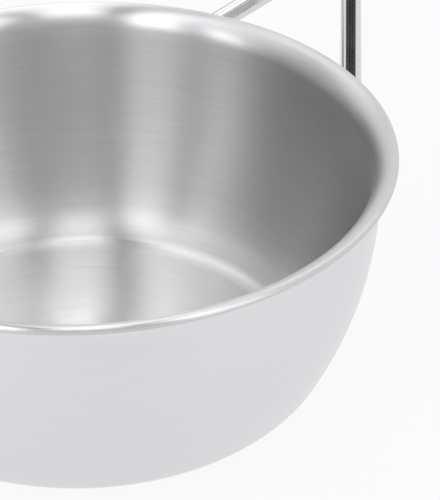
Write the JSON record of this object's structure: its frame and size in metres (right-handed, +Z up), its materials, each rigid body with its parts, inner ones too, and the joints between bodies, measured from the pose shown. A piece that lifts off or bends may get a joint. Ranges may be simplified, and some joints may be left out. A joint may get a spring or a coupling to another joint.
{
  "type": "milk pan",
  "caption": "Round-walled clad steel milk pan with an all-round rolled pouring lip and a two-legged welded handle with a hanging hole.",
  "frame": {"origin": "centre of the flat underside of the base, on the surface that the pan stands on", "axes": "+Z up along the bowl's axis, +X out along the handle, +Y to the left as seen from the bowl looking along the handle"},
  "size_m": [0.4013, 0.21, 0.1443],
  "materials": {
    "brushed_inside": "circumferentially brushed",
    "satin_outside": "fine satin",
    "core_aluminium": "as rolled",
    "polished_bar": "polished",
    "satin_grip": "brushed along the grip",
    "weld_steel": "dressed weld"
  },
  "bodies": {
    "root": {"cooking_skin": "brushed_inside", "aluminium_core": "core_aluminium", "outer_skin": "satin_outside", "left_leg": "polished_bar", "right_leg": "polished_bar", "left_foot_pad": "polished_bar", "right_foot_pad": "polished_bar", "left_weld_bead": "weld_steel", "right_weld_bead": "weld_steel", "fork_nose": "satin_grip", "grip_top_shell": "satin_grip", "grip_bottom_shell": "satin_grip", "hanging_tail": "satin_grip"}
  },
  "joints": []
}
